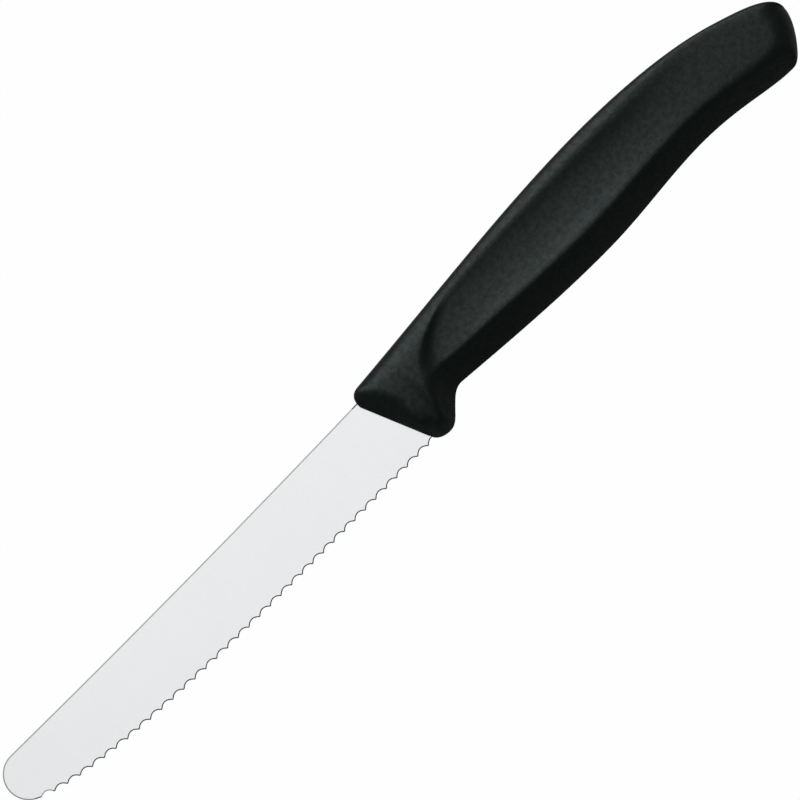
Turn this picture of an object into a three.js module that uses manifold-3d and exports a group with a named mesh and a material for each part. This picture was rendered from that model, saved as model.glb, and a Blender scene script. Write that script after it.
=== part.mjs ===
// Round-tipped table knife with a wavy cutting edge: a stamped steel blade whose hidden tang is
// moulded into a one-piece plastic handle.
// Millimetres. The knife lies on its side: +X runs from the tip to the butt, +Y from the cutting
// edge to the spine and +Z out of the side with no tooth grinding. While the pieces are being
// made, y = 0 is the spine, z = 0 the middle of the blade's thickness, and x = 0 is where the
// handle's raked front meets the spine. Depths are measured down from the spine, and reaches
// back from x = 0.

import * as THREE from "three";
import { ParametricGeometry } from "three/addons/geometries/ParametricGeometry.js";
import { mergeGeometries, mergeVertices } from "three/addons/utils/BufferGeometryUtils.js";
import Module from "manifold-3d";

const wasm = await Module();
wasm.setup();

const { clamp, degToRad, lerp, smoothstep } = THREE.MathUtils;

// Blade.
const BLADE_LENGTH = 110; // tip to handle, along the cutting edge
const BLADE_WIDTH = 16.2; // spine to tooth points at the heel
const SPINE_THICKNESS = 1.2;
const STRIP_THICKNESS = 1.3; // heel and tang, which the side grinding doesn't reach
const EDGE_THICKNESS = 0.34; // left by the side grinding, before the teeth
const TIP_RADIUS = 5.2;
const TIP_RISE = 0.42; // of the tip above the line of the spine
const SPINE_SAG = 0.45; // hollow of the spine between handle and tip
const TIP_SWEEP = 27.5; // degrees short of the lowest point of the tip's arc where the edge starts
const BELLY_LENGTH = 88; // stretch behind the tip where the edge leaves the parallel
const BELLY_FULLNESS = 44; // how long the edge stays near the parallel at the belly's rear end
const BELLY_LEAD = 12.4; // how long the edge keeps the tip arc's direction

// Teeth: scallops ground from the far side only.
const TOOTH_PITCH = 3;
const TOOTH_DEPTH = 0.7;
const TOOTH_LAND = 0.36; // blunt width of each tooth point
const TOOTH_ANGLE = 22; // degrees between the ground scallop and the blade's side
const TOOTH_START = 0.5; // middle of the first scallop, ahead of the handle's front

// Heel and tang, hidden in the handle.
const HEEL_INSET = 3.2; // how far the blade's full width runs into the handle
const HEEL_RADIUS = 2;
const TANG_AXIS = 4.6; // depth of the tang's middle line
const TANG_WIDTH = 8.6;
const TANG_END_WIDTH = 6.2;
const TANG_LENGTH = 72;
const TANG_HOLE = 3.8;
const TANG_HOLE_FIRST = 25;
const TANG_HOLE_PITCH = 18;
const SEAT_GAP = 0.25; // clearance round the heel and tang, all ways
const OVERCUT = 2; // how far a cutting shape runs past what it cuts

// Handle, seen square to the blade.
const HANDLE_LENGTH = 116.85;
const FRONT_RAKE = 21.8; // degrees the handle's front leans back towards the cutting edge
const FRONT_TOP = 1.15; // where the front starts its round over the spine, below the spine
const FRONT_CORNER = 2.9; // reach of the rounded corner over the spine
const SPINE_COVER = 2.16; // plastic above the spine behind that corner
const BACK_CREST = 67.7;
const BACK_RISE = 6.35; // highest point of the back, above the spine
const BACK_FALL = 12.65; // where the back starts its round into the butt, ahead of the butt
const BACK_FALL_RISE = 2; // height of the back there, above the spine
const BUTT_DEPTH = 6; // depth of the rearmost point
const LIP_HEIGHT = 1; // where the front starts its round into the guard, above the tooth points
const GUARD_REACH = 9.7;
const GUARD_COVER = 1.1; // plastic below the tooth points at the guard
const CHOIL_REACH = 18.4; // first finger's notch behind the guard
const CHOIL_DEPTH = 12.05;
const SWELL_REACH = 58.4; // palm swell
const SWELL_DEPTH = 14.6;
const WAIST_REACH = 85.3; // last finger's waist
const WAIST_DEPTH = 13.15;
const HOOK_BACKSET = 7.25; // the butt's lower corner, ahead of the butt
const HOOK_DEPTH = 15.8;
const END_BACKSET = 3.4; // middle of the butt's slanting end face, ahead of the butt
const END_DEPTH = 12.95;

// Handle, across its thickness: each half is as high as the lowest of several surfaces.
const HALF_THICKNESS = 6;
const BACK_WALL = 2.4; // how high the back stands upright before it rounds over
const BACK_WALL_END = 4.2; // the same at the butt
const BACK_EDGE = 0.3; // width over which it gets upright
const FRONT_ROUND = 7.2; // width over which the back rounds over, at the front
const BACK_ROUND = 14; // the same along the middle
const BACK_ROUND_END = 3; // and at the butt
const BACK_FRONT = [12, 28]; // stretch where the front's rounding gives way to the back's
const BACK_REAR = [49, 104]; // stretch where the back's rounding gives way to the butt's
const GUARD_ROUND = 12.5; // width over which the guard rounds over, from its lowest point up
const GUARD_POWER = 2.5; // 2 is an ellipse, 1 is a flat chamfer, and more is fuller
const GUARD_FACET_HEIGHT = 8.8; // where the slanting facet behind the guard would end
const GUARD_FACET_WIDTH = 8;
const NECK_FACET_HEIGHT = 6.6; // the same facet at the finger notch
const BELLY_FACET_HEIGHT = 7.7; // the same facet at the palm swell
const BELLY_FACET_WIDTH = 9;
const HOOK_FACET_HEIGHT = 8.8; // the same facet at the butt's lower corner
const FACET_POWER = 1.12;
const BUTT_ROUND = 6.4; // width over which the butt's end rounds over
const BUTT_HEIGHT = 6; // where that rounding would end
const SCOOP_FLOOR = 3.8; // half thickness at the deepest place of the side scoop
const SCOOP_CENTRE = 34.3;
const SCOOP_RADIUS = 20; // across the handle
const SCOOP_LENGTH_RADIUS = 1500; // along the handle
const SCOOP_AXIS = 0.8; // depth of the scoop's middle line at its front
const SCOOP_AXIS_START = 25.3;
const SCOOP_AXIS_RADIUS = 830; // bend of that line towards the belly
const SCOOP_FRONT = [15, 37]; // stretch where the scoop's bend across the handle comes in
const SCOOP_FRONT_SHARE = 0.4; // of that bend, ahead of the stretch
const SCOOP_REAR = [73, 103]; // stretch where it goes out again
const SCOOP_REAR_SHARE = 0; // of that bend, behind the stretch
const SCOOP_END = 22.3; // foot of the scoop's front wall, at the spine
const SCOOP_END_LEAN = 1.6; // how far the foot moves forward for each unit of depth
const SCOOP_END_BOW = 0.12; // and back again for each unit squared
const SCOOP_END_SLOPE = 0.5;
const SCOOP_END_ROUND = 1.8; // rounding of the wall's foot
const RIDGE_SOFTNESS = 0.45; // height over which the scoop blends into its neighbours
const GUARD_SOFTNESS = 1.2; // the same for the guard's rounding
const FLANK_SOFTNESS = 2.2; // the facet behind the guard
const BELLY_SOFTNESS = 2; // the facet along the belly
const BUTT_SOFTNESS = 1.5; // the butt's rounding
const BEVEL_SOFTNESS = 3; // and the front's slope
const MOUTH_LAND = 0.7; // flat rim of plastic round the blade where it enters
const FRONT_BEVEL = 51; // degrees, near the spine
const FRONT_BEVEL_LOW = 69; // degrees, near the cutting edge
const FRONT_BEVEL_TURN = 5; // depth where it starts to steepen
const FRONT_BEVEL_END = 13.2; // depth where it is steepest

// Facets.
const CURVE_STEPS = 14; // on each curve of the steel's outline
const WHEEL_SIDES = 64;
const OUTLINE_STEPS = 320; // on each long line that the handle's surfaces are measured from
const ALONG_STEPS = 60;
const ACROSS_STEPS = 22; // over one side of the handle

const rake = Math.tan(degToRad(FRONT_RAKE));
const tipX = rake * BLADE_WIDTH - BLADE_LENGTH;
const thinning = (SPINE_THICKNESS - EDGE_THICKNESS) / (2 * BLADE_WIDTH); // each side, per unit of depth
const guardDepth = BLADE_WIDTH + GUARD_COVER;
const hookX = HANDLE_LENGTH - HOOK_BACKSET;

// A closed solid from a geometry, without the triangles that fold to nothing at its ends.
function solidOf(source) {
  const bare = source.clone();
  bare.deleteAttribute("normal");
  bare.deleteAttribute("uv");
  const merged = mergeVertices(bare, 1e-5);
  const corners = merged.index.array;
  const kept = [];
  for (let i = 0; i < corners.length; i += 3) {
    const [a, b, c] = [corners[i], corners[i + 1], corners[i + 2]];
    if (a !== b && b !== c && c !== a) {
      kept.push(a, b, c);
    }
  }
  const mesh = new wasm.Mesh({
    numProp: 3,
    vertProperties: new Float32Array(merged.attributes.position.array),
    triVerts: new Uint32Array(kept),
  });
  return new wasm.Manifold(mesh);
}

function geometryOf(solid) {
  const mesh = solid.getMesh();
  const geometry = new THREE.BufferGeometry();
  geometry.setAttribute("position", new THREE.BufferAttribute(mesh.vertProperties, 3));
  geometry.setIndex(new THREE.BufferAttribute(mesh.triVerts, 1));
  geometry.computeVertexNormals();
  return geometry;
}

// A plan outline extruded evenly to both sides of z = 0.
function plate(shape, thickness) {
  const settings = { depth: thickness, bevelEnabled: false, curveSegments: CURVE_STEPS };
  const geometry = new THREE.ExtrudeGeometry(shape, settings);
  geometry.translate(0, 0, -thickness / 2);
  return solidOf(geometry);
}

// The line of the tooth points: the parallel stretch from the heel, then the belly up to the tip.
const tipCentre = new THREE.Vector2(tipX + TIP_RADIUS, TIP_RISE - TIP_RADIUS);
const sweep = degToRad(270 - TIP_SWEEP);
const tipSpoke = new THREE.Vector2(Math.cos(sweep), Math.sin(sweep));
const tipHeading = new THREE.Vector2(-tipSpoke.y, tipSpoke.x);
const tipEnd = tipCentre.clone().addScaledVector(tipSpoke, TIP_RADIUS);
const bellyLead = tipEnd.clone().addScaledVector(tipHeading, BELLY_LEAD);
const bellyStart = new THREE.Vector2(tipEnd.x + BELLY_LENGTH, -BLADE_WIDTH);
const bellyTail = new THREE.Vector2(bellyStart.x - BELLY_FULLNESS, -BLADE_WIDTH);

// The blade's plan outline up to its shoulder inside the handle, grown by a clearance.
function bladeOutline(grow) {
  const edge = -BLADE_WIDTH - grow;
  const heelX = rake * BLADE_WIDTH + HEEL_INSET + grow;
  const shoulderX = rake * TANG_AXIS + HEEL_INSET + grow;
  const shape = new THREE.Shape();
  shape.moveTo(shoulderX, grow);
  shape.lineTo(0, grow);
  shape.quadraticCurveTo(tipCentre.x / 2, TIP_RISE / 2 - 2 * SPINE_SAG + grow, tipCentre.x, TIP_RISE + grow);
  shape.absarc(tipCentre.x, tipCentre.y, TIP_RADIUS + grow, Math.PI / 2, sweep, false);
  shape.bezierCurveTo(bellyLead.x, bellyLead.y - grow, bellyTail.x, edge, bellyStart.x, edge);
  shape.lineTo(heelX - HEEL_RADIUS, edge);
  shape.quadraticCurveTo(heelX, edge, heelX - rake * HEEL_RADIUS, HEEL_RADIUS - BLADE_WIDTH);
  shape.lineTo(shoulderX, -TANG_AXIS);
  return shape;
}

// The tang's plan outline, from the handle's front, with the holes that the plastic flows through.
function tangOutline(grow) {
  const root = TANG_WIDTH / 2 + grow;
  const end = TANG_END_WIDTH / 2 + grow;
  const endX = TANG_LENGTH - TANG_END_WIDTH / 2;
  const shape = new THREE.Shape();
  shape.moveTo(0, -TANG_AXIS + root);
  shape.lineTo(0, -TANG_AXIS - root);
  shape.lineTo(endX, -TANG_AXIS - end);
  shape.absarc(endX, -TANG_AXIS, end, -Math.PI / 2, Math.PI / 2, false);
  for (let x = TANG_HOLE_FIRST; x <= TANG_LENGTH - TANG_END_WIDTH; x += TANG_HOLE_PITCH) {
    const hole = new THREE.Path();
    hole.absarc(x, -TANG_AXIS, TANG_HOLE / 2 - grow, 0, 2 * Math.PI, true);
    shape.holes.push(hole);
  }
  return shape;
}

// Everything behind the handle's raked front, where the side grinding of the blade ends.
function hiddenSide(grow) {
  const reach = 2 * BLADE_WIDTH;
  const shape = new THREE.Shape();
  shape.moveTo(-rake * reach - grow, reach);
  shape.lineTo(rake * reach - grow, -reach);
  shape.lineTo(HANDLE_LENGTH, -reach);
  shape.lineTo(HANDLE_LENGTH, reach);
  return shape;
}

// A bar along x whose section thins evenly from the spine to the edge.
function wedgeBar(grow) {
  const high = SPINE_THICKNESS / 2 + grow + thinning * OVERCUT;
  const low = EDGE_THICKNESS / 2 + grow - thinning * OVERCUT;
  const section = new THREE.Shape();
  section.moveTo(OVERCUT, high);
  section.lineTo(-BLADE_WIDTH - OVERCUT, low);
  section.lineTo(-BLADE_WIDTH - OVERCUT, -low);
  section.lineTo(OVERCUT, -high);
  const geometry = new THREE.ExtrudeGeometry(section, { depth: HANDLE_LENGTH - tipX, bevelEnabled: false });
  const [xAxis, yAxis, zAxis] = [0, 1, 2].map((i) => new THREE.Vector3().setComponent(i, 1));
  geometry.applyMatrix4(new THREE.Matrix4().makeBasis(yAxis, zAxis, xAxis));
  geometry.translate(tipX - OVERCUT, 0, 0);
  return solidOf(geometry);
}

// Blade and tang before the teeth are ground. Grown by the seat's clearance, the same shape is
// the room that the handle leaves for them.
function bladeBlank(grow) {
  const thickness = STRIP_THICKNESS + 2 * grow;
  const blade = plate(bladeOutline(grow), thickness);
  const tang = plate(tangOutline(grow), thickness);
  const hidden = blade.add(tang).intersect(plate(hiddenSide(grow), thickness + OVERCUT));
  return blade.intersect(wedgeBar(grow)).add(hidden);
}

// The paths of the grinding wheel, one for each scallop.
function scallops() {
  const heel = new THREE.Vector2(rake * BLADE_WIDTH - TOOTH_START, -BLADE_WIDTH);
  const edgeLine = new THREE.CurvePath();
  edgeLine.add(new THREE.LineCurve(heel, bellyStart));
  edgeLine.add(new THREE.CubicBezierCurve(bellyStart, bellyTail, bellyLead, tipEnd));
  const length = edgeLine.getLength();
  const angle = degToRad(TOOTH_ANGLE);
  const halfChord = (TOOTH_PITCH - TOOTH_LAND) / 2;
  const sag = TOOTH_DEPTH * Math.sin(angle);
  const radius = (halfChord * halfChord + sag * sag) / (2 * sag);
  const wheel = new THREE.CylinderGeometry(radius, radius, 4 * OVERCUT, WHEEL_SIDES);
  const up = new THREE.Vector3(0, 0, 1);
  const paths = [];
  for (let run = 0; run < length; run += TOOTH_PITCH) {
    const point = edgeLine.getPointAt(run / length);
    const heading = edgeLine.getTangentAt(run / length);
    const tangent = new THREE.Vector3(heading.x, heading.y, 0);
    const inward = new THREE.Vector3().crossVectors(tangent, up);
    const axis = inward.clone().multiplyScalar(Math.cos(angle)).addScaledVector(up, -Math.sin(angle));
    const away = new THREE.Vector3().crossVectors(tangent, axis);
    const apex = new THREE.Vector3(point.x, point.y, 0).addScaledVector(inward, TOOTH_DEPTH);
    apex.z = SPINE_THICKNESS / 2 + thinning * apex.y;
    const pose = new THREE.Matrix4().makeBasis(tangent, axis, away);
    pose.setPosition(apex.addScaledVector(away, radius));
    paths.push(solidOf(wheel.clone().applyMatrix4(pose)));
  }
  return wasm.Manifold.union(paths);
}

// A point of an outline, the direction in degrees in which the outline passes it, and how far the
// curves before and after it hold that direction, as shares of the way to the next point.
function knot(x, y, heading, before = 0.35, after = 0.35) {
  const turn = degToRad(heading);
  const point = new THREE.Vector2(x, y);
  return { point, heading: new THREE.Vector2(Math.cos(turn), Math.sin(turn)), before, after };
}

// A smooth path through knots.
function trace(knots) {
  const path = new THREE.Path();
  path.moveTo(knots[0].point.x, knots[0].point.y);
  for (let i = 1; i < knots.length; i += 1) {
    const [from, to] = [knots[i - 1], knots[i]];
    const span = from.point.distanceTo(to.point);
    const leave = from.point.clone().addScaledVector(from.heading, from.after * span);
    const arrive = to.point.clone().addScaledVector(to.heading, -to.before * span);
    path.bezierCurveTo(leave.x, leave.y, arrive.x, arrive.y, to.point.x, to.point.y);
  }
  return path;
}

// The handle's plan outline in three stretches: the back, from the front to the rearmost point;
// the belly, from the front over the guard to the butt's lower corner; and the butt's end face.
const lipDepth = BLADE_WIDTH - LIP_HEIGHT;
const back = trace([
  knot(rake * FRONT_TOP, -FRONT_TOP, 98.6, 0, 0.33),
  knot(FRONT_CORNER, SPINE_COVER, 4, 0.54, 0.34),
  knot(BACK_CREST, BACK_RISE, 0, 0.3, 0.35),
  knot(HANDLE_LENGTH - BACK_FALL, BACK_FALL_RISE, -17.9, 0.28, 0.49),
  knot(HANDLE_LENGTH, -BUTT_DEPTH, -90, 0.26),
]);
const belly = trace([
  knot(rake * lipDepth, -lipDepth, FRONT_RAKE - 90, 0, 0.4),
  knot(GUARD_REACH, -guardDepth, 0),
  knot(lerp(GUARD_REACH, CHOIL_REACH, 0.48), -lerp(guardDepth, CHOIL_DEPTH, 0.52), 44, 0.45),
  knot(CHOIL_REACH, -CHOIL_DEPTH, -5.3, 0.37, 0.29),
  knot(SWELL_REACH, -SWELL_DEPTH, 0),
  knot(WAIST_REACH, -WAIST_DEPTH, 0, 0.33, 0.46),
  knot(hookX, -HOOK_DEPTH, 0, 0.27),
]);
const butt = trace([
  knot(hookX, -HOOK_DEPTH, 0, 0, 0.3),
  knot(HANDLE_LENGTH - END_BACKSET, -END_DEPTH, 50, 0.38, 0.3),
  knot(HANDLE_LENGTH, -BUTT_DEPTH, 90, 0.27),
]);
const underside = new THREE.CurvePath();
underside.curves.push(...belly.curves, ...butt.curves);

const backLine = back.getSpacedPoints(OUTLINE_STEPS);
const bellyLine = belly.getSpacedPoints(OUTLINE_STEPS);
const buttLine = butt.getSpacedPoints(OUTLINE_STEPS / 4);

// Distance from a point to a run of short straight lines.
function distanceTo(line, x, y) {
  let least = Infinity;
  for (let i = 1; i < line.length; i += 1) {
    const from = line[i - 1];
    const dx = line[i].x - from.x;
    const dy = line[i].y - from.y;
    const part = clamp(((x - from.x) * dx + (y - from.y) * dy) / (dx * dx + dy * dy || 1), 0, 1);
    least = Math.min(least, Math.hypot(x - from.x - part * dx, y - from.y - part * dy));
  }
  return least;
}

// Rise of a rounded edge: upright at the outline and level once a width in from it.
function rounding(distance, width, height, power) {
  const left = Math.max(0, 1 - distance / width);
  return height * (1 - left ** power) ** (1 / power);
}

// The lower of two surfaces, with a rounded ridge where they meet.
function softMin(a, b, softness) {
  const blend = Math.max(Math.min(softness, 0.8 * Math.min(a, b)), 1e-6);
  const overlap = Math.max(0, 1 - Math.abs(a - b) / blend);
  return Math.min(a, b) - (blend * overlap * overlap) / 4;
}

// The upright back and the rounding above it.
function backRound(x, y) {
  const inset = distanceTo(backLine, x, y);
  const rear = smoothstep(x, ...BACK_REAR);
  const wall = lerp(BACK_WALL, BACK_WALL_END, rear);
  const width = lerp(lerp(FRONT_ROUND, BACK_ROUND, smoothstep(x, ...BACK_FRONT)), BACK_ROUND_END, rear);
  return rounding(inset, BACK_EDGE, wall, 2) + rounding(inset, width, HALF_THICKNESS - wall, 2);
}

// The slanting facet that runs behind the guard and along the belly to the butt.
function bellyFacet(x, y) {
  const neck = smoothstep(x, GUARD_REACH, CHOIL_REACH);
  const palm = smoothstep(x, CHOIL_REACH, SWELL_REACH);
  const end = smoothstep(x, WAIST_REACH, hookX);
  const guardHeight = lerp(GUARD_FACET_HEIGHT, NECK_FACET_HEIGHT, neck);
  const height = lerp(lerp(guardHeight, BELLY_FACET_HEIGHT, palm), HOOK_FACET_HEIGHT, end);
  const width = lerp(GUARD_FACET_WIDTH, BELLY_FACET_WIDTH, neck);
  return rounding(distanceTo(bellyLine, x, y), width, height, FACET_POWER);
}

// The long hollow in the handle's side, with a sloping wall at its front.
function sideScoop(x, y) {
  const across = y + SCOOP_AXIS + (x - SCOOP_AXIS_START) ** 2 / (2 * SCOOP_AXIS_RADIUS);
  const front = lerp(SCOOP_FRONT_SHARE, 1, smoothstep(x, ...SCOOP_FRONT));
  const rear = lerp(1, SCOOP_REAR_SHARE, smoothstep(x, ...SCOOP_REAR));
  const bend = (front * rear * across ** 2) / (2 * SCOOP_RADIUS);
  const rise = (x - SCOOP_CENTRE) ** 2 / (2 * SCOOP_LENGTH_RADIUS);
  const ahead = SCOOP_END + SCOOP_END_LEAN * y + SCOOP_END_BOW * y ** 2 - x;
  const wall = (SCOOP_END_SLOPE * (ahead + Math.hypot(ahead, SCOOP_END_ROUND))) / 2;
  return SCOOP_FLOOR + bend + rise + wall;
}

// The slope from the rim round the blade up to the guard's crown.
function frontBevel(x, y) {
  const inset = Math.max(0, (x + rake * y) * Math.cos(degToRad(FRONT_RAKE)));
  const angle = lerp(FRONT_BEVEL, FRONT_BEVEL_LOW, smoothstep(-y, FRONT_BEVEL_TURN, FRONT_BEVEL_END));
  return STRIP_THICKNESS / 2 + SEAT_GAP + MOUTH_LAND + inset * Math.tan(degToRad(angle));
}

// Half the handle's thickness over a point of its plan.
function halfThickness(x, y) {
  const neck = smoothstep(x, GUARD_REACH, CHOIL_REACH);
  const guardRise = Math.max(0, y + guardDepth);
  const guardRound = rounding(guardRise, GUARD_ROUND, HALF_THICKNESS, GUARD_POWER) + HALF_THICKNESS * neck;
  const buttRound = rounding(distanceTo(buttLine, x, y), BUTT_ROUND, BUTT_HEIGHT, 2);
  const surfaces = [
    [bellyFacet(x, y), lerp(FLANK_SOFTNESS, BELLY_SOFTNESS, neck)],
    [buttRound, BUTT_SOFTNESS],
    [guardRound, GUARD_SOFTNESS],
    [sideScoop(x, y), RIDGE_SOFTNESS],
    [frontBevel(x, y), BEVEL_SOFTNESS],
  ];
  return surfaces.reduce((lowest, [height, softness]) => softMin(lowest, height, softness), backRound(x, y));
}

// Place of a ring along the handle, with rings closer together at the front and round the butt.
function ringPlace(part) {
  const front = part ** 1.6;
  const end = 1 - (1 - part) ** 2;
  return lerp(front, end, smoothstep(part, 0.75, 1));
}

// The handle's surface: round runs from the back over the upper side to the belly and home under
// the lower side, and along from the front to the rearmost point.
function handleSkin(round, along, target) {
  const upper = round <= 0.5;
  const across = (1 - Math.cos(2 * Math.PI * round)) / 2;
  const place = ringPlace(along);
  const point = back.getPoint(place).lerp(underside.getPoint(place), across);
  const onRim = across < 1e-9 || across > 1 - 1e-9 || place > 1 - 1e-9;
  const height = onRim ? 0 : halfThickness(point.x, point.y);
  target.set(point.x, point.y, upper ? height : -height);
}

// The flat front that closes the surface, across the handle's thickness.
function handleFront(through, across, target) {
  handleSkin(across / 2, 0, target);
  target.z *= 1 - 2 * through;
}

function handleBody() {
  const skin = new ParametricGeometry(handleSkin, 2 * ACROSS_STEPS, ALONG_STEPS);
  const front = new ParametricGeometry(handleFront, 1, ACROSS_STEPS);
  return solidOf(mergeGeometries([skin, front]));
}

function piece(name, solid, finish) {
  const mesh = new THREE.Mesh(geometryOf(solid), new THREE.MeshStandardMaterial(finish));
  mesh.name = name;
  return mesh;
}

const steel = { name: "steel", color: 0xc9ccd0, metalness: 1, roughness: 0.3 };
const plastic = { name: "plastic", color: 0x1c1e20, metalness: 0, roughness: 0.6 };
const blade = piece("blade", bladeBlank(0).subtract(scallops()), steel);
const handle = piece("handle", handleBody().subtract(bladeBlank(SEAT_GAP)), plastic);

const knife = new THREE.Group();
knife.name = "table_knife";
knife.add(blade, handle);

// The origin goes under the middle of the knife, on what it lies on.
const box = new THREE.Box3().setFromObject(knife);
knife.position.set(-(box.min.x + box.max.x) / 2, -(box.min.y + box.max.y) / 2, -box.min.z);

export default knife;
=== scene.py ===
"""Dressed model of a round-tipped table knife with a wavy cutting edge, lying on its side.

The knife's own sizes are in millimetres: y = 0 is the spine, z = 0 the middle of the blade's
thickness, and x = 0 is where the handle's raked front meets the spine. Depths go down from the
spine and reaches go back from x = 0. Meshes are made in metres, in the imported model's frame.
"""

import logging
import math
from collections.abc import Iterator, Sequence
from contextlib import contextmanager
from dataclasses import dataclass
from enum import Enum
from typing import Any, Union

import bmesh
import bpy
import numpy as np
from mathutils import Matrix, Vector


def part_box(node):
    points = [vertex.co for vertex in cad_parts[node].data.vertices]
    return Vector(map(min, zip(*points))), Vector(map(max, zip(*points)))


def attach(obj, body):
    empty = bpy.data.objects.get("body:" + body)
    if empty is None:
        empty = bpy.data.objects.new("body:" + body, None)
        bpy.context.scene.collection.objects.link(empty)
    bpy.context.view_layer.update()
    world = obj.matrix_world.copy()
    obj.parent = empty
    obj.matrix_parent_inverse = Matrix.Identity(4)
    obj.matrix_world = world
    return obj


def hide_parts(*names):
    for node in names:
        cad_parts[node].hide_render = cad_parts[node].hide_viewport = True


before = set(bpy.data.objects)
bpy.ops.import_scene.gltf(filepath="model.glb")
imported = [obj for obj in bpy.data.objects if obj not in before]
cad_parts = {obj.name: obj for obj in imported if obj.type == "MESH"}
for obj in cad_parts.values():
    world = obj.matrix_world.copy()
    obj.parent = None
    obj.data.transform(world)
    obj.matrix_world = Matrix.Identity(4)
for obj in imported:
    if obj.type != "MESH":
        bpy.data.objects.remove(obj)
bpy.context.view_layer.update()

log = logging.getLogger("knife")

Array = np.ndarray
Thing = bpy.types.Object
Finish = bpy.types.Material

MM = 0.001
BODY = "root"
# attribute that marks where the steel gets painted edge shade and more roughness
RIM = "rim"
TINY = 1e-6  # stands in for nought in a divisor
WHITE = (1.0, 1.0, 1.0, 1.0)


class Slot(Enum):
    """The record's material slots."""

    STEEL = "steel"
    PLASTIC = "plastic"


class Cut(Enum):
    """What a boolean does with the second solid."""

    REMOVE = "DIFFERENCE"
    JOIN = "UNION"


def lerp(low: Any, high: Any, share: Any) -> Any:
    """Goes from low to high as share goes from 0 to 1."""
    return low + (high - low) * share


def smoothstep(value: Array, low: float, high: float) -> Array:
    """Rises smoothly from 0 at low to 1 at high."""
    share = np.clip((value - low) / (high - low), 0, 1)
    return share * share * (3 - 2 * share)


def heading_of(degrees: float) -> Array:
    """Unit vector in the plan, turned up from +X."""
    turn = math.radians(degrees)
    return np.array([math.cos(turn), math.sin(turn)])


def cubic(controls: Sequence[Array], steps: int) -> Array:
    """Points along a cubic curve.

    Args:
        controls: Its four control points.
        steps: How many straight steps the curve is cut into.

    Returns:
        The points, one a row, both ends included.
    """
    t = np.linspace(0, 1, steps + 1)[:, None]
    s = 1 - t
    start, leave, arrive, end = controls
    return s**3 * start + 3 * s * s * t * leave + 3 * s * t * t * arrive + t**3 * end


def arc(centre: Array, radius: float, first: float, last: float, steps: int) -> Array:
    """Points along a round arc, one a row, from a first to a last angle in degrees."""
    turns = np.radians(np.linspace(first, last, steps + 1))
    return centre + radius * np.column_stack([np.cos(turns), np.sin(turns)])


@dataclass(frozen=True)
class Knot:
    """A point that an outline passes, and how it passes it."""

    x: float
    y: float
    heading: float  # degrees
    before: float = 0.35  # share of the span before that holds the heading
    after: float = 0.35  # the same for the span after

    @property
    def point(self) -> Array:
        """The knot's place in the plan."""
        return np.array([self.x, self.y])


def trace(knots: Sequence[Knot], steps: int = 200) -> Array:
    """Smooth line through knots.

    Args:
        knots: The points to pass, in order.
        steps: Straight steps between two knots.

    Returns:
        The line's points, one a row.
    """
    spans = []
    for start, end in zip(knots, knots[1:]):
        span = float(np.linalg.norm(end.point - start.point))
        leave = start.point + heading_of(start.heading) * start.after * span
        arrive = end.point - heading_of(end.heading) * end.before * span
        spans.append(cubic([start.point, leave, arrive, end.point], steps)[1:])
    return np.vstack([knots[0].point[None], *spans])


def at_shares(line: Array, shares: Array) -> Array:
    """Points at shares of a line's length.

    Args:
        line: The line's points, one a row.
        shares: From 0 at its start to 1 at its end.

    Returns:
        One point for each share.
    """
    steps = np.linalg.norm(np.diff(line, axis=0), axis=1)
    run = np.concatenate([[0.0], np.cumsum(steps)])
    places = shares * run[-1]
    return np.column_stack([np.interp(places, run, line[:, axis]) for axis in (0, 1)])


def distance_to(line: Array, points: Array) -> Array:
    """Distance from each point to a line.

    Args:
        line: The line's points, one a row.
        points: Points of the plan, one a row.

    Returns:
        One distance for each point.
    """
    least = np.full(len(points), np.inf)
    for start, end in zip(line, line[1:]):
        way = end - start
        share = np.clip((points - start) @ way / max(float(way @ way), 1e-12), 0, 1)
        gap = points - start - share[:, None] * way
        least = np.minimum(least, np.einsum("ij,ij->i", gap, gap))
    return np.sqrt(least)


def ramp(distance: Array, width: float) -> Array:
    """Nought below zero and the distance above it, with a bend of a width between."""
    return (distance + np.hypot(distance, width)) / 2


def rounding(distance: Array, width: Any, height: Any, power: Any) -> Array:
    """Rise of a rounded edge, level a width in from the outline: an ellipse at power 2, flat at 1."""
    left = np.maximum(0, 1 - distance / width)
    return height * (1 - left**power) ** (1 / power)


@dataclass(frozen=True)
class Datum:
    """Where the knife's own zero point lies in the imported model's frame, in metres."""

    origin: Vector

    def row(self, points: Array) -> Array:
        """Points in millimetres of the knife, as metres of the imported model's frame."""
        return np.asarray(points) * MM + np.array(self.origin)

    def piece(self, name: str, points: Array, faces: Sequence[Sequence[int]]) -> Thing:
        """Mesh object with its place in its mesh.

        Args:
            name: The piece's name.
            points: Its corners in the knife's own millimetres.
            faces: Corner numbers of each face.

        Returns:
            The object, linked to the scene.
        """
        mesh = bpy.data.meshes.new(name)
        mesh.from_pydata(self.row(points).tolist(), [], [list(face) for face in faces])
        mesh.validate()
        return link(bpy.data.objects.new(name, mesh))


def link(thing: Thing) -> Thing:
    """Puts an object into the scene."""
    bpy.context.scene.collection.objects.link(thing)
    return thing


def settle(piece: Thing) -> Thing:
    """Turns what a piece's modifiers make into its plain mesh.

    Args:
        piece: The piece.

    Returns:
        The same piece.
    """
    graph = bpy.context.evaluated_depsgraph_get()
    mesh = bpy.data.meshes.new_from_object(piece.evaluated_get(graph))
    piece.modifiers.clear()
    piece.data = mesh
    return piece


def combine(piece: Thing, other: Thing, cut: Cut) -> Thing:
    """Joins a solid to a piece or cuts it away.

    Args:
        piece: The piece that is kept.
        other: The other solid, which is used up.
        cut: What to do with it.

    Returns:
        The piece.
    """
    modifier = piece.modifiers.new("combine", "BOOLEAN")
    modifier.object = other
    modifier.operation = cut.value
    modifier.solver = "EXACT"
    settle(piece)
    bpy.data.objects.remove(other)
    return piece


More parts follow.
